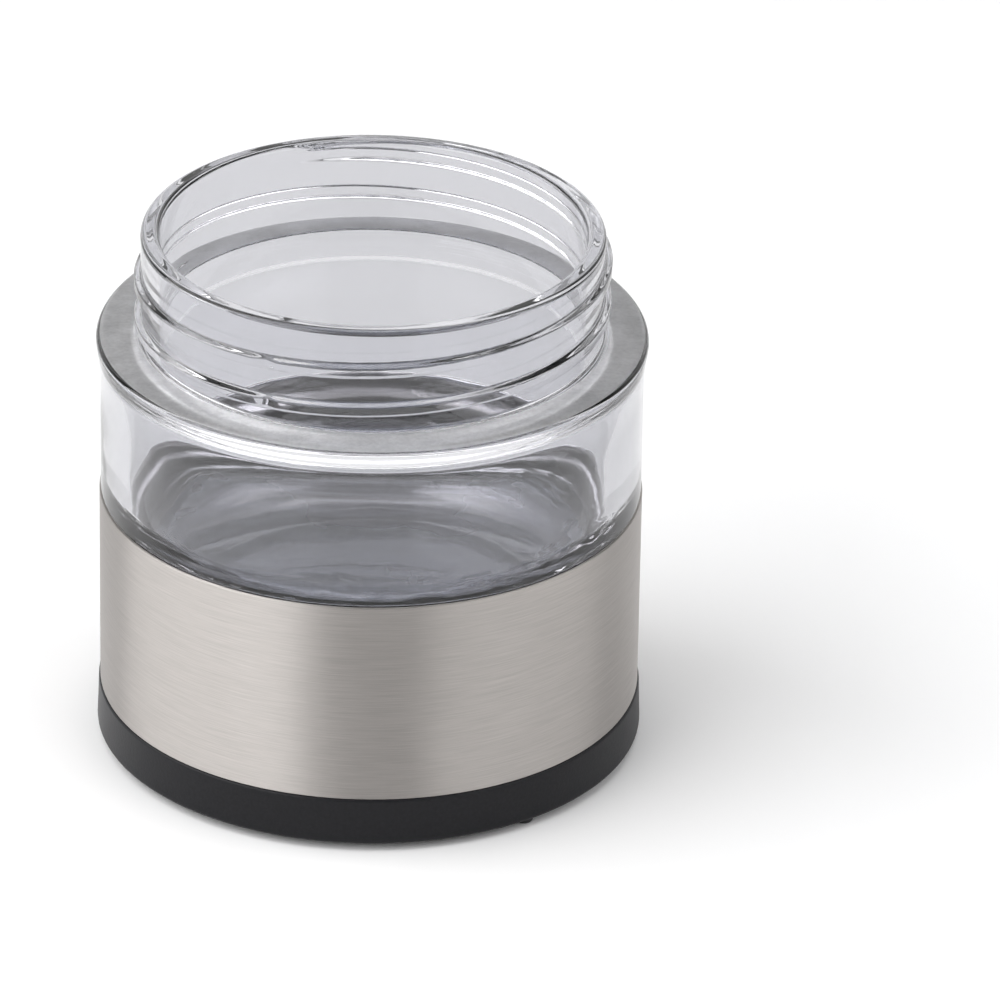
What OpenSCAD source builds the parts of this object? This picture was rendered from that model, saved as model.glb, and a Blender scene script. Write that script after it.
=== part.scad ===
// Glass container of a table mill, in millimetres.
// A heavy-bottomed glass jar with a screw neck stands in a brushed steel sleeve
// on a plain steel disc, and a moulded base on three small studs plugs the sleeve from below.
// +Z is up, and the origin is where the jar's axis meets the table.

/* [Sleeve] */
// Outside diameter of the steel sleeve, the driving size
sleeve_d = 55; // [52:0.5:60]
// Height of the sleeve
sleeve_h = 21.5; // [20:0.5:26]
// Sheet thickness of the sleeve
sleeve_t = 0.4; // [0.3:0.05:0.6]
// Rounding of the sleeve's cut edges
sleeve_edge = 0.12; // [0.05:0.01:0.14]

/* [Base] */
// Height of the black ring that shows under the sleeve
base_h = 5; // [4:0.5:8]
// How far the ring's foot flares out past its top, on the radius
base_flare = 0.15; // [0:0.05:0.4]
// How far the ring's top stands proud of the sleeve, on the radius
base_proud = 0.15; // [0.05:0.05:0.5]
// Wall thickness of the moulding
base_wall = 2; // [1.5:0.1:2.5]
// How far the base plugs into the sleeve
plug_h = 2.7; // [2:0.1:4]
// Depth of the recess in the underside
recess_h = 0.6; // [0.3:0.1:1]
// Radial ribs that carry the disc and the jar
rib_n = 6; // [4:1:12]
// Thickness of the ribs
rib_t = 1.4; // [1:0.1:2]

/* [Studs] */
// Diameter of a foot stud
stud_d = 1.8; // [1.4:0.1:2.2]
// How far a stud stands out below the base
stud_h = 0.7; // [0.4:0.1:1]
// Depth of a stud's hole in the base
stud_sink = 2.4; // [1.5:0.1:3]
// Bearing of the first stud, counter-clockwise from +X
stud_bearing = -52.3; // [-180:0.1:180]

/* [Jar] */
// Height of the visible glass wall, from the sleeve to the shoulder
wall_h = 17.5; // [14:0.1:24]
// Wall thickness of the jar
wall_t = 3.25; // [2.5:0.05:3.6]
// Height of the glass floor's top above the base's ledge
floor_rise = 18.3; // [16:0.1:19]
// Radius where the floor turns up into the wall
floor_r = 5; // [3:0.5:6]
// Height of the shallow dome in the underside
push_up = 0.6; // [0.3:0.1:1.2]
// Height of the neck above the shoulder
neck_h = 10.8; // [9:0.1:13]
// Diameter of the neck at the root of its screw thread
neck_d = 46.6; // [45:0.1:47]
// Diameter of the mouth
mouth_d = 42.8; // [42:0.1:44]
// Rounding of the shoulder's outer edge
shoulder_r = 0.85; // [0.8:0.05:1.6]
// How far the shoulder's edge flares out past the wall, on the radius
shoulder_flare = 0.4; // [0.1:0.05:0.6]

/* [Disc] */
// Thickness of the steel disc under the jar
disc_t = 0.5; // [0.3:0.1:1]

/* [Hidden] */
$fn = 128;
// Gap that the bonding fills between jar, sleeve and plug
bond_gap = 0.12;
// Segments in each rounded corner of a profile
arc_n = 7;
// Slope of the shoulder, outer edge to neck
shoulder_rise = 0.15;
// Height over which the wall flares out to the shoulder's edge
flare_h = 4.7;
// Rounding of the lip inside and outside, which leaves a flat land between
lip_r = 0.6;
// Rounding where the neck meets the shoulder
neck_fillet = 0.3;
// Rounding of the jar's heel, and of the corner under its wall
heel_r = 4;
ledge_r = 0.25;
// Width of the flat ring that the jar stands on, between heel and dome
foot_w = 1;
// Thickness of the shoulder, and the rounding inside where it meets the wall
shoulder_t = 2.8;
throat_r = 0.8;
// Rounding of the base's foot and top edges
foot_r = 0.5;
crest_r = 0.3;
// Middle radius of the hub where the base's ribs meet
hub_r = 4;
// How far the ribs stand above the plug's wall and the hub
rib_rise = 0.3;
// Rounding of a stud's end
stud_end = 0.3;
// Play of a stud in its hole
stud_play = 0.05;
// Studs under the base
stud_n = 3;

sleeve_r = sleeve_d/2;
sleeve_in_r = sleeve_r - sleeve_t;
base_top_r = sleeve_r + base_proud;
base_foot_r = base_top_r + base_flare;
base_z = stud_h;
ledge_z = base_z + base_h;
sleeve_top = ledge_z + sleeve_h;
plug_r = sleeve_in_r - bond_gap;
plug_top = ledge_z + plug_h;
rib_top = plug_top + rib_rise;
seat_z = rib_top + disc_t;
jar_r = sleeve_r - bond_gap;
jar_low_r = sleeve_in_r - bond_gap;
jar_in_r = jar_r - wall_t;
jar_ledge_z = sleeve_top + bond_gap;
shoulder_z = sleeve_top + wall_h;
rim_z = shoulder_z + neck_h;
floor_z = ledge_z + floor_rise;
neck_r = neck_d/2;
mouth_r = mouth_d/2;
throat_z = shoulder_z - shoulder_t;
// The wall's flare is an arc that leaves the straight wall without a corner
flare_r = (pow(flare_h, 2) + pow(shoulder_flare, 2))/(2*shoulder_flare);
flare_a = asin(flare_h/flare_r);
edge_z = shoulder_z - shoulder_rise - shoulder_r;
edge_r = jar_r + shoulder_flare - shoulder_r*cos(flare_a);
flare_z = edge_z - shoulder_r*sin(flare_a) - flare_h;
// The edge's arc starts just past the end of the flare, so that no point comes twice
edge_a = 5 - flare_a;
disc_r = plug_r;
// The underside's dome is a flat arc that ends at the ring the jar stands on
dome_w = jar_low_r - heel_r - foot_w;
dome_r = (pow(dome_w, 2) + pow(push_up, 2))/(2*push_up);
dome_a = asin(dome_w/dome_r);
stud_ring_r = base_foot_r - foot_r - stud_d/2 - 0.1;
// Tools reach past a face by this much, so that no skin is left
past = 1;

// Points on an arc about centre c, from angle a to angle b.
function arc(c, r, a, b) = [for (i = [0:arc_n]) c + r*[cos(a + (b - a)*i/arc_n), sin(a + (b - a)*i/arc_n)]];

// Outside of the jar, from the centre of its underside up to the lip.
function jar_outside() = concat(
    arc([0, seat_z + push_up - dome_r], dome_r, 90, 90 - dome_a),
    arc([jar_low_r - heel_r, seat_z + heel_r], heel_r, -90, 0),
    [[jar_low_r, jar_ledge_z]],
    arc([jar_r - ledge_r, jar_ledge_z + ledge_r], ledge_r, -90, 0),
    arc([jar_r + flare_r, flare_z], flare_r, 180, 180 - flare_a),
    arc([edge_r, edge_z], shoulder_r, edge_a, 90),
    arc([neck_r + neck_fillet, shoulder_z + neck_fillet], neck_fillet, 270, 180),
    arc([neck_r - lip_r, rim_z - lip_r], lip_r, 0, 90)
);

// Inside of the jar, from the lip down to the centre of its floor.
function jar_inside() = concat(
    arc([mouth_r + lip_r, rim_z - lip_r], lip_r, 90, 180),
    [[mouth_r, throat_z]],
    arc([jar_in_r - throat_r, throat_z - throat_r], throat_r, 90, 0),
    arc([jar_in_r - floor_r, floor_z + floor_r], floor_r, 0, -90),
    [[0, floor_z]]
);

// The jar is one revolved profile: heel, wall, shoulder, neck, lip, mouth and floor.
module glass_jar() {
    color([0.85, 0.88, 0.9, 0.45])
        rotate_extrude()
            polygon(concat(jar_outside(), jar_inside()));
}

// A plain tube whose four cut edges are eased.
module steel_sleeve() {
    mid_in = [sleeve_in_r + sleeve_edge, sleeve_r - sleeve_edge];
    low = ledge_z + sleeve_edge;
    high = sleeve_top - sleeve_edge;
    color([0.74, 0.73, 0.71])
        rotate_extrude()
            polygon(concat(
                arc([mid_in[1], low], sleeve_edge, -90, 0),
                arc([mid_in[1], high], sleeve_edge, 0, 90),
                arc([mid_in[0], high], sleeve_edge, 90, 180),
                arc([mid_in[0], low], sleeve_edge, 180, 270)
            ));
}

// A plain steel disc that lies on the ribs of the base and shows through the glass floor.
module seat_disc() {
    color([0.6, 0.6, 0.6])
        translate([0, 0, rib_top])
            cylinder(r = disc_r, h = disc_t);
}

// Section of the base without its ribs: ring, ledge, plug wall and closed floor.
module base_section() {
    in_r = plug_r - base_wall;
    floor_top = base_z + recess_h + base_wall;
    recess_r = stud_ring_r - stud_d;
    polygon(concat(
        [[0, base_z + recess_h], [recess_r - recess_h, base_z + recess_h], [recess_r, base_z]],
        arc([base_foot_r - foot_r, base_z + foot_r], foot_r, -90, 0),
        arc([base_top_r - crest_r, ledge_z - crest_r], crest_r, 0, 90),
        [[plug_r, ledge_z], [plug_r, plug_top], [in_r, plug_top], [in_r, floor_top], [0, floor_top]]
    ));
}

// Ribs that carry the disc, and the hub where they meet, on the base's floor.
module base_ribs() {
    bottom = base_z + recess_h + base_wall/2;
    reach = plug_r - base_wall/2;
    hub_h = plug_top - bottom;
    translate([0, 0, bottom]) {
        for (i = [0:rib_n - 1])
            rotate(360*i/rib_n)
                translate([hub_r, -rib_t/2, 0])
                    cube([reach - hub_r, rib_t, rib_top - bottom]);
        difference() {
            cylinder(r = hub_r + rib_t/2, h = hub_h);
            translate([0, 0, -past])
                cylinder(r = hub_r - rib_t/2, h = hub_h + 2*past);
        }
    }
}

// Puts its children at stud i, on the underside of the base.
module at_stud(i) {
    rotate(stud_bearing + 360*i/stud_n)
        translate([stud_ring_r, 0, 0])
            children();
}

// The base: one moulding, closed below and ribbed inside, with a blind hole for each stud.
module base() {
    color([0.09, 0.09, 0.1])
        difference() {
            union() {
                rotate_extrude()
                    base_section();
                base_ribs();
            }
            for (i = [0:stud_n - 1])
                at_stud(i)
                    translate([0, 0, base_z - past])
                        cylinder(d = stud_d + 2*stud_play, h = stud_sink + past, $fn = 48);
        }
}

// One rubber stud with an eased flat end, pushed into its hole.
module stud(i) {
    r = stud_d/2;
    color([0.13, 0.13, 0.14])
        at_stud(i)
            rotate_extrude($fn = 48)
                polygon(concat(
                    [[0, 0]],
                    arc([r - stud_end, stud_end], stud_end, -90, 0),
                    [[r, base_z + stud_sink], [0, base_z + stud_sink]]
                ));
}
module stud_1() { stud(0); }
module stud_2() { stud(1); }
module stud_3() { stud(2); }

glass_jar();
steel_sleeve();
seat_disc();
base();
stud_1();
stud_2();
stud_3();
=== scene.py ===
import math

import bmesh
import bpy
from mathutils import Matrix, Vector, noise


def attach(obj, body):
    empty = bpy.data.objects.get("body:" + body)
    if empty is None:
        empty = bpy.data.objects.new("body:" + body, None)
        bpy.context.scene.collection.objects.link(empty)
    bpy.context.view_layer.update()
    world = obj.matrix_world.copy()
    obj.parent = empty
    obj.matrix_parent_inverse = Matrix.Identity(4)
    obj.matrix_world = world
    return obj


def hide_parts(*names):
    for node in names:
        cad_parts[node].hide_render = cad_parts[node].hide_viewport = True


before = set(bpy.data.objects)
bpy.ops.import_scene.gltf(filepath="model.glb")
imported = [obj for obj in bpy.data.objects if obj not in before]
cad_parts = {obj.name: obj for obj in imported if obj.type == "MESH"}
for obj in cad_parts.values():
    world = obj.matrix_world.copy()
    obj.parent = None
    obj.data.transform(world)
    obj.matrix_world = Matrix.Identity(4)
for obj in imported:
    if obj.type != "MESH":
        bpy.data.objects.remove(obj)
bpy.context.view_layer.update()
mm = 0.001
scene = bpy.context.scene
scene.view_settings.view_transform = "Standard"
print("frame loaded:", sorted(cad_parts))


# Turned shapes: a profile of (radius, height) in millimetres goes once round the axis.
def arc(centre, radius, start, end, steps):
    angles = [math.radians(start + (end - start) * i / steps) for i in range(steps + 1)]
    return [(centre[0] + radius * math.cos(a), centre[1] + radius * math.sin(a)) for a in angles]


def ease(t):
    t = min(1, max(0, t))
    return t * t * (3 - 2 * t)


# Close rings near a corner keep its shading true, and wider ones fill the straight runs.
def graded(profile, fine, wide, near):
    points = []
    shortRest = 0.2 * fine  # too short for a ring of its own
    for (r0, z0), (r1, z1) in zip(profile, profile[1:]):
        length = math.hypot(r1 - r0, z1 - z0)
        stops, at = [], 0
        while at < length - shortRest:
            stops.append(at)
            at += fine if min(at, length - at) < near else wide
        points += [(r0 + (r1 - r0) * s / length, z0 + (z1 - z0) * s / length) for s in stops]
    return points + [profile[-1]]


def turned(name, profile, steps, form):
    verts, faces, rings = [], [], []
    for r, z in profile:
        count = steps if r > 0 else 1
        rings.append((len(verts), count))
        for k in range(count):
            a = 2 * math.pi * k / steps
            ra, za = form(a, r, z)
            verts.append((ra * mm * math.cos(a), ra * mm * math.sin(a), za * mm))
    for (low, lowCount), (high, highCount) in zip(rings, rings[1:]):
        for k in range(steps):
            n = (k + 1) % steps
            corners = [low + k % lowCount, low + n % lowCount, high + n % highCount, high + k % highCount]
            faces.append(list(dict.fromkeys(corners)))
    mesh = bpy.data.meshes.new(name)
    mesh.from_pydata(verts, [], faces)
    shape = bmesh.new()
    shape.from_mesh(mesh)
    bmesh.ops.recalc_face_normals(shape, faces=shape.faces)
    shape.to_mesh(mesh)
    shape.free()
    mesh.shade_smooth()
    piece = bpy.data.objects.new(name, mesh)
    scene.collection.objects.link(piece)
    return piece


# Shader helpers. A setting is the node's own property or, failing that, one of its sockets.
def addNode(tree, kind, **settings):
    node = tree.nodes.new(kind)
    for key, value in settings.items():
        if hasattr(node, key):
            setattr(node, key, value)
        else:
            node.inputs[key.replace("_", " ")].default_value = value
    return node


def wire(tree, source, output, target, entry):
    tree.links.new(source.outputs[output], target.inputs[entry])


def newMaterial(name, colour, **settings):
    material = bpy.data.materials.new(name)
    material.use_nodes = True
    shader = material.node_tree.nodes["Principled BSDF"]
    shader.inputs["Base Color"].default_value = (*colour, 1)
    for key, value in settings.items():
        shader.inputs[key.replace("_", " ")].default_value = value
    material.diffuse_color = (*colour, 1)
    return material, material.node_tree, shader


def newGroup(name, inputs, outputs):
    tree = bpy.data.node_groups.new(name, "ShaderNodeTree")
    for label, value in inputs.items():
        socket = tree.interface.new_socket(label, in_out="INPUT", socket_type="NodeSocketFloat")
        socket.default_value = value
    for label in outputs:
        tree.interface.new_socket(label, in_out="OUTPUT", socket_type="NodeSocketFloat")
    return tree, tree.nodes.new("NodeGroupInput"), tree.nodes.new("NodeGroupOutput")


def useGroup(tree, group, **values):
    node = tree.nodes.new("ShaderNodeGroup")
    node.node_tree = group
    for label, value in values.items():
        node.inputs[label].default_value = value
    return node


noiseSpan = {"From_Min": 0.3, "From_Max": 0.7}  # where most of a noise lies

# Moulded grain: a fine pebbled height, and the same speckle as a tone about 1.
grainGroup, grainIn, grainOut = newGroup(
    "mouldedGrain", {"Scale": 3000, "Spread": 0.1}, ("Height", "Tone"))
grainPlace = addNode(grainGroup, "ShaderNodeTexCoord")
grainNoise = addNode(grainGroup, "ShaderNodeTexNoise", Detail=3.0, Roughness=0.6)
grainTone = addNode(grainGroup, "ShaderNodeMapRange", **noiseSpan)
wire(grainGroup, grainPlace, "Object", grainNoise, "Vector")
wire(grainGroup, grainIn, "Scale", grainNoise, "Scale")
wire(grainGroup, grainNoise, "Fac", grainTone, "Value")
for operation, bound in (("SUBTRACT", "To Min"), ("ADD", "To Max")):
    grainBound = addNode(grainGroup, "ShaderNodeMath", operation=operation)
    grainBound.inputs[0].default_value = 1
    wire(grainGroup, grainIn, "Spread", grainBound, 1)
    wire(grainGroup, grainBound, "Value", grainTone, bound)
wire(grainGroup, grainNoise, "Fac", grainOut, "Height")
wire(grainGroup, grainTone, "Result", grainOut, "Tone")

# Handling haze: soft cloudy patches where fingers leave a surface less clean.
hazeGroup, hazeIn, hazeOut = newGroup(
    "handlingHaze", {"Size": 60, "Clean": 0.3, "Handled": 0.4}, ("Roughness",))
hazePlace = addNode(hazeGroup, "ShaderNodeTexCoord")
hazeNoise = addNode(hazeGroup, "ShaderNodeTexNoise", Detail=4.0, Roughness=0.55, Distortion=0.4)
hazeRange = addNode(hazeGroup, "ShaderNodeMapRange", From_Min=0.35, From_Max=0.7)
wire(hazeGroup, hazePlace, "Object", hazeNoise, "Vector")
wire(hazeGroup, hazeIn, "Size", hazeNoise, "Scale")
wire(hazeGroup, hazeNoise, "Fac", hazeRange, "Value")
wire(hazeGroup, hazeIn, "Clean", hazeRange, "To Min")
wire(hazeGroup, hazeIn, "Handled", hazeRange, "To Max")
wire(hazeGroup, hazeRange, "Result", hazeOut, "Roughness")

# Rolling streaks: a noise stretched along the way the metal was rolled or brushed.
streakGroup, streakIn, streakOut = newGroup(
    "rollingStreaks", {"ScaleX": 100, "ScaleY": 100, "ScaleZ": 100, "Dark": 0.9, "Light": 1.1},
    ("Height", "Tone"))
streakPlace = addNode(streakGroup, "ShaderNodeTexCoord")
streakScale = addNode(streakGroup, "ShaderNodeCombineXYZ")
streakStretch = addNode(streakGroup, "ShaderNodeVectorMath", operation="MULTIPLY")
streakNoise = addNode(streakGroup, "ShaderNodeTexNoise", Scale=1.0, Detail=4.0, Roughness=0.65)
streakRange = addNode(streakGroup, "ShaderNodeMapRange", **noiseSpan)
for axisName in "XYZ":
    wire(streakGroup, streakIn, "Scale" + axisName, streakScale, axisName)
wire(streakGroup, streakPlace, "Object", streakStretch, 0)
wire(streakGroup, streakScale, "Vector", streakStretch, 1)
wire(streakGroup, streakStretch, "Vector", streakNoise, "Vector")
wire(streakGroup, streakNoise, "Fac", streakRange, "Value")
wire(streakGroup, streakIn, "Dark", streakRange, "To Min")
wire(streakGroup, streakIn, "Light", streakRange, "To Max")
wire(streakGroup, streakNoise, "Fac", streakOut, "Height")
wire(streakGroup, streakRange, "Result", streakOut, "Tone")


# Tints a colour by a tone that varies about 1.
def tonedColour(tree, shader, colour, tone):
    tint = addNode(tree, "ShaderNodeVectorMath", operation="SCALE")
    tint.inputs[0].default_value = colour
    tree.links.new(tone, tint.inputs["Scale"])
    wire(tree, tint, "Vector", shader, "Base Color")


def bumped(tree, shader, height, bump):
    raised = addNode(tree, "ShaderNodeBump", **bump)
    tree.links.new(height, raised.inputs["Height"])
    wire(tree, raised, "Normal", shader, "Normal")


def hazed(tree, shader, look):
    haze = useGroup(tree, hazeGroup, **look["haze"])
    wire(tree, haze, "Roughness", shader, "Roughness")


def grained(tree, shader, look):
    grain = useGroup(tree, grainGroup, **look["grain"])
    tonedColour(tree, shader, look["colour"], grain.outputs["Tone"])
    bumped(tree, shader, grain.outputs["Height"], look["bump"])


def streaked(tree, shader, look):
    streaks = useGroup(tree, streakGroup, **look["streaks"])
    tonedColour(tree, shader, look["colour"], streaks.outputs["Tone"])
    if "bump" in look:
        bumped(tree, shader, streaks.outputs["Height"], look["bump"])


# Brush lines that go round the given axis.
def brushedRound(tree, shader, axis):
    tangent = addNode(tree, "ShaderNodeTangent", direction_type="RADIAL", axis=axis)
    wire(tree, tangent, "Tangent", shader, "Tangent")


# Glass jar: one turned profile, with the screw thread raised on its neck.
jar = {
    "seat": 9.25, "pushUp": 0.6, "heel": 4.0, "footWidth": 1.0, "lowRadius": 26.98, "ledge": 27.32,
    "ledgeEdge": 0.25, "radius": 27.38, "shoulder": 44.7, "shoulderDrop": 0.15, "shoulderEdge": 0.85,
    "flare": 0.4, "flareHeight": 4.7, "neckRadius": 23.3, "neckFillet": 0.3, "rim": 55.5, "lip": 0.6,
    "mouthRadius": 21.4, "throat": 41.9, "throatEdge": 0.3, "throatCorner": 0.8, "inRadius": 24.13,
    "floor": 24.0, "floorFillet": 5.0,
    "slack": 0.01, "steps": 288,  # allowance for rounding, faces once round
}
thread = {
    "pitch": 4.23, "zeroHeight": 48.1, "start": -215, "end": 476, "taper": 26, "rise": 0.65,
    "width": 1.2, "flank": 0.42, "seam": 245, "seamWidth": 3.0, "seamCut": 0.5,
}
# Unevenness of the pressed glass inside. The fillet's waves and ripples fade out up the wall and towards
# the middle of the floor, and the wall's own waves fade out below the shoulder.
glassWaves = {
    "filletDepth": 0.08, "filletDetail": 0.5, "filletFrom": 16, "filletFadeIn": 5, "filletHeight": 8.0,
    "ripple": 0.052, "rippleRun": 1.1, "rippleBend": 2.5, "rippleWobble": 0.6, "rippleRightward": 0.35,
    "floorDepth": 0.02, "floorMiddle": 3, "wallDepth": 0.1, "wallTop": 36, "wallFadeOut": 4,
}
# How tight each kind of wave is, and its own place in the noise.
waveKinds = {
    "fillet": (0.32, (0, 0, 0)), "filletDetail": (0.6, (7, 3, 1)), "rippleBend": (0.14, (4, 6, 2)),
    "rippleWobble": (0.45, (3, 8, 5)), "floor": (0.16, (2, 9, 4)), "wall": (0.09, (5, 1, 8)),
}
# Spacing of the jar's rings: near a corner, away from one, and how far from a corner is near.
ringSpacing = {
    "body": (0.3, 1.4, 1.2), "neck": (0.08, 0.08, 0), "lip": (0.3, 0.3, 0), "wall": (0.4, 0.4, 0),
    "floor": (0.2, 0.6, 1.0),
}


def threadRise(angle, height):
    degrees, best = math.degrees(angle), 0
    seam = abs((degrees - thread["seam"] + 180) % 360 - 180)
    kept = 1 - thread["seamCut"] * (1 - ease(seam / thread["seamWidth"]))
    for turn in (-1, 0, 1):
        at = degrees + 360 * turn
        run = min(at - thread["start"], thread["end"] - at) / thread["taper"]
        away = abs(height - thread["zeroHeight"] - thread["pitch"] * at / 360)
        flank = (thread["width"] / 2 + thread["flank"] / 2 - away) / thread["flank"]
        best = max(best, ease(run) * kept * ease(flank))
    return thread["rise"] * best


def glassWave(kind, spot):
    tightness, place = waveKinds[kind]
    return noise.noise(spot * tightness + Vector(place))


# Moves a point of the profile: out for the thread on the neck, and a little for the waves inside.
def jarForm(angle, r, z):
    onNeck = jar["neckRadius"] - jar["lip"] < r < jar["neckRadius"] + jar["slack"]
    if onNeck and z > jar["shoulder"] + jar["neckFillet"]:
        return r + threadRise(angle, z) * ease((jar["rim"] - z) / jar["lip"]), z
    inside = r < jar["inRadius"] + jar["slack"] and jar["floor"] - jar["slack"] < z < jar["throat"]
    if not inside:
        return r, z
    spot = Vector((r * math.cos(angle), r * math.sin(angle), z))
    low = 1 - ease((z - jar["floor"]) / glassWaves["filletHeight"])
    edge = ease((r - glassWaves["filletFrom"]) / glassWaves["filletFadeIn"])
    wave = glassWave("fillet", spot) + glassWaves["filletDetail"] * glassWave("filletDetail", spot)
    run = z - r + glassWaves["rippleBend"] * glassWave("rippleBend", spot)
    run += glassWaves["rippleWobble"] * glassWave("rippleWobble", spot)
    ripple = math.sin(2 * math.pi * run / glassWaves["rippleRun"]) * glassWaves["ripple"]
    ripple *= 1 - glassWaves["rippleRightward"] * (1 - math.cos(angle))
    push = (wave * glassWaves["filletDepth"] + ripple) * low * edge
    sink = glassWave("floor", spot) * (1 - edge) * glassWaves["floorDepth"]
    sink *= ease(r / glassWaves["floorMiddle"])
    wall = glassWave("wall", spot) * glassWaves["wallDepth"] * edge * (1 - low)
    wall *= 1 - ease((z - glassWaves["wallTop"]) / glassWaves["wallFadeOut"])
    return r + push + wall, z + push + sink


# Underside, heel, ledge, wall and shoulder, from the middle outwards and up.
lowFlat = jar["lowRadius"] - jar["heel"]
domeReach = lowFlat - jar["footWidth"]
domeRadius = (domeReach ** 2 + jar["pushUp"] ** 2) / (2 * jar["pushUp"])
domeTurn = math.degrees(math.asin(domeReach / domeRadius))
jarLow = arc((0, jar["seat"] + jar["pushUp"] - domeRadius), domeRadius, 90, 90 - domeTurn, 12)
jarLow[0] = (0, jarLow[0][1])  # exactly on the axis
jarLow += arc((lowFlat, jar["seat"] + jar["heel"]), jar["heel"], -90, 0, 16)
jarLow += [(jar["lowRadius"], jar["ledge"])]
ledgeEdge = jar["ledgeEdge"]
jarLow += arc((jar["radius"] - ledgeEdge, jar["ledge"] + ledgeEdge), ledgeEdge, -90, 0, 6)
flareRadius = (jar["flareHeight"] ** 2 + jar["flare"] ** 2) / (2 * jar["flare"])
flareTurn = math.degrees(math.asin(jar["flareHeight"] / flareRadius))
edgeHeight = jar["shoulder"] - jar["shoulderDrop"] - jar["shoulderEdge"]
edgeRadius = jar["radius"] + jar["flare"] - jar["shoulderEdge"] * math.cos(math.radians(flareTurn))
flareLow = edgeHeight - jar["shoulderEdge"] * math.sin(math.radians(flareTurn)) - jar["flareHeight"]
jarLow += arc((jar["radius"] + flareRadius, flareLow), flareRadius, 180, 180 - flareTurn, 10)[:-1]
jarLow += arc((edgeRadius, edgeHeight), jar["shoulderEdge"], -flareTurn, 90, 12)
jarLow += arc((jar["neckRadius"] + jar["neckFillet"], jar["shoulder"] + jar["neckFillet"]),
              jar["neckFillet"], 270, 180, 8)
# Neck and lip, then down the mouth and the inner wall to the middle of the floor.
jarNeck = [jarLow[-1], (jar["neckRadius"], jar["rim"] - jar["lip"])]
jarLip = arc((jar["neckRadius"] - jar["lip"], jar["rim"] - jar["lip"]), jar["lip"], 0, 90, 9)
jarLip += arc((jar["mouthRadius"] + jar["lip"], jar["rim"] - jar["lip"]), jar["lip"], 90, 180, 9)
throatEdge, throatCorner = jar["throatEdge"], jar["throatCorner"]
jarIn = [jarLip[-1]]
jarIn += arc((jar["mouthRadius"] + throatEdge, jar["throat"] + throatEdge), throatEdge, 180, 270, 6)
jarIn += arc((jar["inRadius"] - throatCorner, jar["throat"] - throatCorner), throatCorner, 90, 0, 8)
jarWall = [jarIn[-1], (jar["inRadius"], jar["floor"] + jar["floorFillet"])]
jarFloor = arc((jar["inRadius"] - jar["floorFillet"], jar["floor"] + jar["floorFillet"]),
               jar["floorFillet"], 0, -90, 16) + [(0, jar["floor"])]
jarRuns = [(jarLow, "body"), (jarNeck, "neck"), (jarLip, "lip"), (jarIn, "body"), (jarWall, "wall"),
           (jarFloor, "floor")]
jarProfile = []
for run, spacing in jarRuns:
    jarProfile = jarProfile[:-1] + graded(run, *ringSpacing[spacing])
glassJar = turned("glassJar", jarProfile, jar["steps"], jarForm)

glass = {
    "colour": (0.83, 0.832, 0.86), "ior": 1.5, "haze": {"Size": 90, "Clean": 0.0, "Handled": 0.02},
    "ripple": {"Scale": 140.0, "Detail": 1.0}, "bump": {"Strength": 0.25, "Distance": 0.0001},
}
clearGlass, glassTree, glassShader = newMaterial(
    "clearGlass", glass["colour"], IOR=glass["ior"], Transmission_Weight=1.0)
hazed(glassTree, glassShader, glass)
glassPlace = addNode(glassTree, "ShaderNodeTexCoord")
glassRipple = addNode(glassTree, "ShaderNodeTexNoise", **glass["ripple"])
wire(glassTree, glassPlace, "Object", glassRipple, "Vector")
bumped(glassTree, glassShader, glassRipple.outputs["Fac"], glass["bump"])

# The shoulder's flat is ground, so it scatters light between neck and edge.
frost = {
    "colour": (0.84, 0.84, 0.85), "clear": 0.72, "roughness": 0.32,
    "grain": {"Scale": 2200, "Spread": 0.12}, "bump": {"Strength": 0.4, "Distance": 0.00005},
    "patches": {"ScaleX": 260, "ScaleY": 500, "ScaleZ": 260, "Dark": 0.82, "Light": 1.12},
    "from": jar["neckRadius"] + jar["neckFillet"], "to": 27.4, "below": 0.4, "above": 0.02,
}
frostedGlass, frostTree, frostShader = newMaterial(
    "frostedGlass", frost["colour"], Roughness=frost["roughness"], IOR=glass["ior"],
    Transmission_Weight=frost["clear"])
frostGrain = useGroup(frostTree, grainGroup, **frost["grain"])
frostPatches = useGroup(frostTree, streakGroup, **frost["patches"])
frostTone = addNode(frostTree, "ShaderNodeMath", operation="MULTIPLY")
wire(frostTree, frostGrain, "Tone", frostTone, 0)
wire(frostTree, frostPatches, "Tone", frostTone, 1)
tonedColour(frostTree, frostShader, frost["colour"], frostTone.outputs["Value"])
bumped(frostTree, frostShader, frostGrain.outputs["Height"], frost["bump"])

# Inside the sleeve the wall is bonded to the steel, so the glass shows soft streaked metal there.
bond = {
    "colour": (0.83, 0.82, 0.83), "roughness": 0.12, "depth": 0.3, "below": 0.05,
    "streaks": {"ScaleX": 60, "ScaleY": 60, "ScaleZ": 900, "Dark": 0.65, "Light": 1.2},
}
bondedWall, bondTree, bondShader = newMaterial(
    "bondedWall", bond["colour"], Metallic=1.0, Roughness=bond["roughness"])
streaked(bondTree, bondShader, bond)

jarFinishes = {"clear": clearGlass, "ground": frostedGlass, "bonded": bondedWall}
finishIndex = {finish: i for i, finish in enumerate(jarFinishes)}
for material in jarFinishes.values():
    glassJar.data.materials.append(material)
for face in glassJar.data.polygons:
    reach, height = face.center.to_2d().length / mm, face.center.z / mm
    finish = "clear"
    if frost["from"] < reach < frost["to"] and -frost["below"] < height - jar["shoulder"] < frost["above"]:
        finish = "ground"
    elif reach > jar["lowRadius"] - bond["depth"] and height < jar["ledge"] - bond["below"]:
        finish = "bonded"
    face.material_index = finishIndex[finish]
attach(glassJar, "root")
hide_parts("glass_jar")
print("glass jar turned:", len(glassJar.data.vertices), "points")


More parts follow.
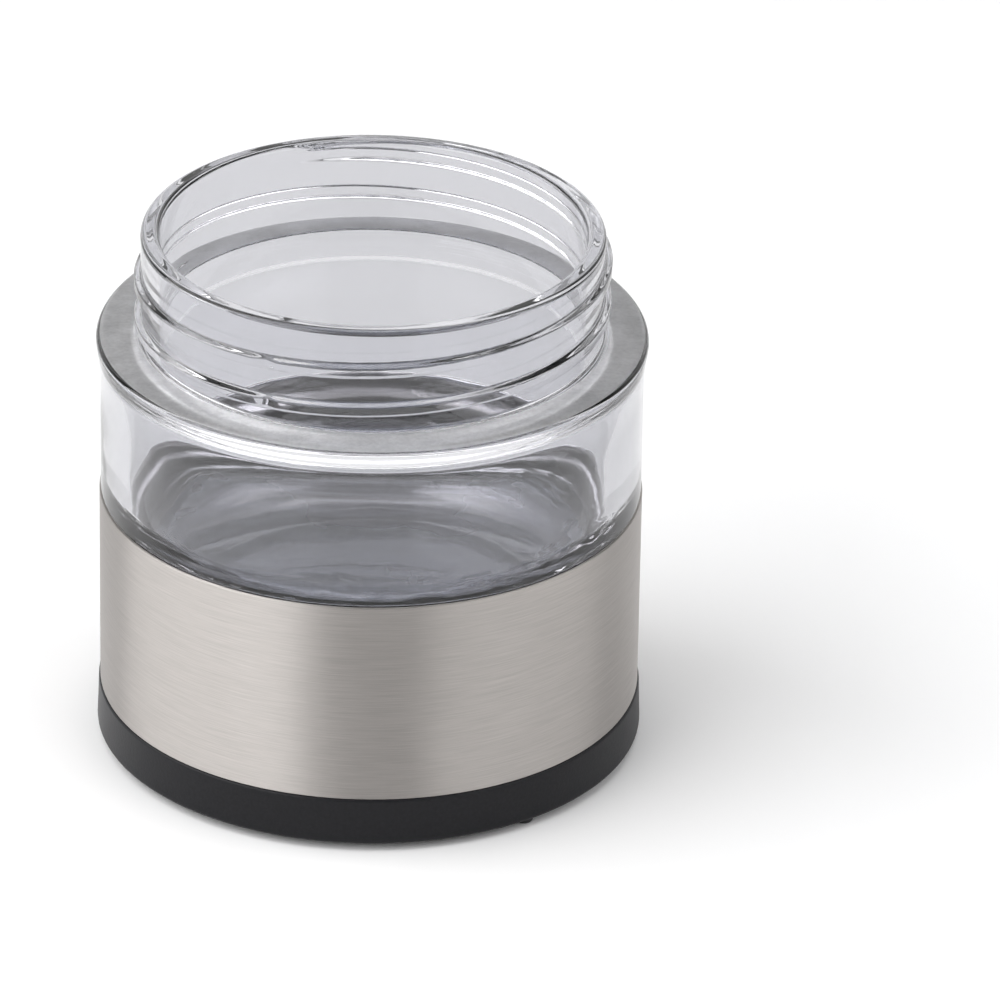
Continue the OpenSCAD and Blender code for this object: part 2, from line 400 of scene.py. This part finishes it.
# Steel sleeve: brushed round the tube, so its light runs up and down.
steel = {
    "colour": (0.5, 0.473, 0.452), "anisotropy": 0.97, "turn": 0.25,
    "streaks": {"ScaleX": 190, "ScaleY": 190, "ScaleZ": 13000, "Dark": 0.88, "Light": 1.1},
    "haze": {"Size": 45, "Clean": 0.45, "Handled": 0.5}, "bump": {"Strength": 0.12, "Distance": 0.00002},
    "insideRoughness": 0.2, "insideTo": 27.2, "outsideFrom": 27.4,
}
brushedSteel, steelTree, steelShader = newMaterial(
    "brushedSteel", steel["colour"], Metallic=1.0, Anisotropic=steel["anisotropy"],
    Anisotropic_Rotation=steel["turn"])
streaked(steelTree, steelShader, steel)
brushedRound(steelTree, steelShader, "Z")
# The tube's inside is smoother, which goes by the distance from the axis.
steelPlace = addNode(steelTree, "ShaderNodeTexCoord")
steelFlat = addNode(steelTree, "ShaderNodeVectorMath", operation="MULTIPLY")
steelFlat.inputs[1].default_value = (1, 1, 0)
steelReach = addNode(steelTree, "ShaderNodeVectorMath", operation="LENGTH")
steelInside = addNode(
    steelTree, "ShaderNodeMapRange", From_Min=steel["insideTo"] * mm, From_Max=steel["outsideFrom"] * mm,
    To_Min=steel["insideRoughness"])
steelHaze = useGroup(steelTree, hazeGroup, **steel["haze"])
wire(steelTree, steelPlace, "Object", steelFlat, 0)
wire(steelTree, steelFlat, "Vector", steelReach, 0)
wire(steelTree, steelReach, "Value", steelInside, "Value")
wire(steelTree, steelHaze, "Roughness", steelInside, "To Max")
wire(steelTree, steelInside, "Result", steelShader, "Roughness")


# Black base, steel disc and rubber studs keep their built shapes.
plastic = {
    "colour": (0.011, 0.011, 0.013), "shine": 0.2, "grain": {"Scale": 3200, "Spread": 0.18},
    "haze": {"Size": 60, "Clean": 0.36, "Handled": 0.44}, "bump": {"Strength": 0.3, "Distance": 0.00005},
}
blackPlastic, plasticTree, plasticShader = newMaterial(
    "blackPlastic", plastic["colour"], Specular_IOR_Level=plastic["shine"])
grained(plasticTree, plasticShader, plastic)
hazed(plasticTree, plasticShader, plastic)

seat = {
    "colour": (0.188, 0.196, 0.22), "anisotropy": 0.95, "bump": {"Strength": 0.4, "Distance": 0.00005},
    "streaks": {"ScaleX": 60, "ScaleY": 520, "ScaleZ": 1, "Dark": 0.42, "Light": 1.45},
    "haze": {"Size": 70, "Clean": 0.25, "Handled": 0.29},
}
seatSteel, seatTree, seatShader = newMaterial(
    "seatSteel", seat["colour"], Metallic=1.0, Anisotropic=seat["anisotropy"])
streaked(seatTree, seatShader, seat)
hazed(seatTree, seatShader, seat)
brushedRound(seatTree, seatShader, "X")

stud = {
    "colour": (0.02, 0.02, 0.021), "roughness": 0.6, "grain": {"Scale": 2600, "Spread": 0.12},
    "bump": {"Strength": 0.2, "Distance": 0.00005},
}
studRubber, studTree, studShader = newMaterial("studRubber", stud["colour"], Roughness=stud["roughness"])
grained(studTree, studShader, stud)

keptNodes = {
    "steel_sleeve": (brushedSteel, "brushed_steel"), "seat_disc": (seatSteel, "plain_steel"),
    "base": (blackPlastic, "black_plastic"), "stud_1": (studRubber, "stud_rubber"),
    "stud_2": (studRubber, "stud_rubber"), "stud_3": (studRubber, "stud_rubber"),
}
for nodeName, (material, slotName) in keptNodes.items():
    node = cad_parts[nodeName]
    node.data.materials.clear()
    node.data.materials.append(material)
print("sleeve, disc, base and studs finished")


# Studio: table and room look white, and give soft light to the object only at their plain shade.
studio = {
    "tableSize": 6, "tableShade": (0.6, 0.6, 0.61), "tableRoughness": 0.9, "throughGlass": 0.35,
    "roomShade": (0.08, 0.08, 0.085), "inMetal": {"From_Min": 0.3, "From_Max": 1.0},
    "inGlass": {"From_Min": -0.85, "From_Max": -0.35},
}


# White where the mask is 1, and the plain shade where it is 0.
def whiteWhere(tree, mask, shade, target, entry):
    tint = addNode(tree, "ShaderNodeMix", data_type="RGBA")
    shadeSocket, whiteSocket, mixed = tint.inputs[6], tint.inputs[7], tint.outputs[2]  # the colour sockets
    shadeSocket.default_value = (*shade, 1)
    whiteSocket.default_value = (1, 1, 1, 1)
    wire(tree, mask, "Value", tint, 0)
    tree.links.new(mixed, target.inputs[entry])


# The camera and mirrors see the table white, and glass sees it between white and its shade.
bpy.ops.mesh.primitive_plane_add(size=studio["tableSize"])
table = bpy.context.object
table.name = "table"
tableWhite, tableTree, tableShader = newMaterial(
    "tableWhite", (1, 1, 1), Roughness=studio["tableRoughness"])
tableRays = addNode(tableTree, "ShaderNodeLightPath")
tableEither = addNode(tableTree, "ShaderNodeMath", operation="MAXIMUM")
tableMirrored = addNode(tableTree, "ShaderNodeMath", operation="MULTIPLY_ADD")
tableMirrored.inputs[1].default_value = studio["throughGlass"] - 1
tableShown = addNode(tableTree, "ShaderNodeMath", operation="ADD", use_clamp=True)
wire(tableTree, tableRays, "Is Glossy Ray", tableEither, 0)
wire(tableTree, tableRays, "Is Transmission Ray", tableEither, 1)
wire(tableTree, tableRays, "Is Transmission Ray", tableMirrored, 0)
wire(tableTree, tableEither, "Value", tableMirrored, 2)
wire(tableTree, tableRays, "Is Camera Ray", tableShown, 0)
wire(tableTree, tableMirrored, "Value", tableShown, 1)
whiteWhere(tableTree, tableShown, studio["tableShade"], tableShader, "Base Color")
table.data.materials.append(tableWhite)

# The camera sees the room white all round, metal sees it so at the back, and glass all but at the front.
room = bpy.data.worlds.new("studioRoom")
scene.world = room
room.use_nodes = True
roomTree = room.node_tree
roomGlow = roomTree.nodes["Background"]
roomGlow.inputs["Strength"].default_value = 1.0
roomRays = addNode(roomTree, "ShaderNodeLightPath")
roomPlace = addNode(roomTree, "ShaderNodeTexCoord")
roomAxes = addNode(roomTree, "ShaderNodeSeparateXYZ")
roomSeen = addNode(roomTree, "ShaderNodeMath", operation="ADD")
roomShown = addNode(roomTree, "ShaderNodeMath", operation="ADD", use_clamp=True)
wire(roomTree, roomPlace, "Generated", roomAxes, "Vector")
for i, (rayName, span) in enumerate((("Is Glossy Ray", "inMetal"), ("Is Transmission Ray", "inGlass"))):
    roomPart = addNode(roomTree, "ShaderNodeMapRange", **studio[span])
    roomMask = addNode(roomTree, "ShaderNodeMath", operation="MULTIPLY")
    wire(roomTree, roomAxes, "Y", roomPart, "Value")
    wire(roomTree, roomRays, rayName, roomMask, 0)
    wire(roomTree, roomPart, "Result", roomMask, 1)
    wire(roomTree, roomMask, "Value", roomSeen, i)
wire(roomTree, roomRays, "Is Camera Ray", roomShown, 0)
wire(roomTree, roomSeen, "Value", roomShown, 1)
whiteWhere(roomTree, roomShown, studio["roomShade"], roomGlow, "Color")

# A bright wide panel on the left, a weaker one on the right, and a soft one above.
panels = {
    "leftPanel": {
        "place": (-0.6, -0.48, 0.5), "toward": (0, -0.48, 0.2), "size": (1.65, 0.85), "power": 11.5},
    "rightPanel": {
        "place": (0.6, -0.5, 0.42), "toward": (0, -0.5, 0.15), "size": (1.5, 0.45), "power": 4.0},
    "topPanel": {
        "place": (0, 0.1, 1.1), "toward": (0, 0, 0), "size": (1.0, 1.0), "power": 5.6},
}
for panelName, panel in panels.items():
    lamp = bpy.data.lights.new(panelName, "AREA")
    lamp.shape = "RECTANGLE"
    lamp.size, lamp.size_y = panel["size"]
    lamp.energy = panel["power"]
    holder = bpy.data.objects.new(panelName, lamp)
    scene.collection.objects.link(holder)
    holder.location = panel["place"]
    aim = Vector(panel["toward"]) - Vector(panel["place"])
    holder.rotation_euler = aim.to_track_quat("-Z", "Y").to_euler()

# The photo's camera: long lens, 27 degrees above the table, turned a little about its own axis.
photoView = {
    "down": 26.99, "target": (13.1, 0, 25.505), "distance": 888.4, "turn": 1.04,
    "lens": 315.3, "sensor": 36, "farthest": 50,
}
down = math.radians(photoView["down"])
forward = Vector((0, math.cos(down), -math.sin(down)))
target = Vector(photoView["target"]) * mm
cameraData = bpy.data.cameras.new("photoCamera")
cameraData.lens = photoView["lens"]
cameraData.sensor_width = photoView["sensor"]
cameraData.clip_end = photoView["farthest"]
camera = bpy.data.objects.new("photoCamera", cameraData)
scene.collection.objects.link(camera)
turn = Matrix.Rotation(math.radians(photoView["turn"]), 3, "Z")
facing = forward.to_track_quat("-Z", "Y").to_matrix() @ turn
camera.matrix_world = Matrix.Translation(target - forward * photoView["distance"] * mm) @ facing.to_4x4()
scene.camera = camera
print("studio set")
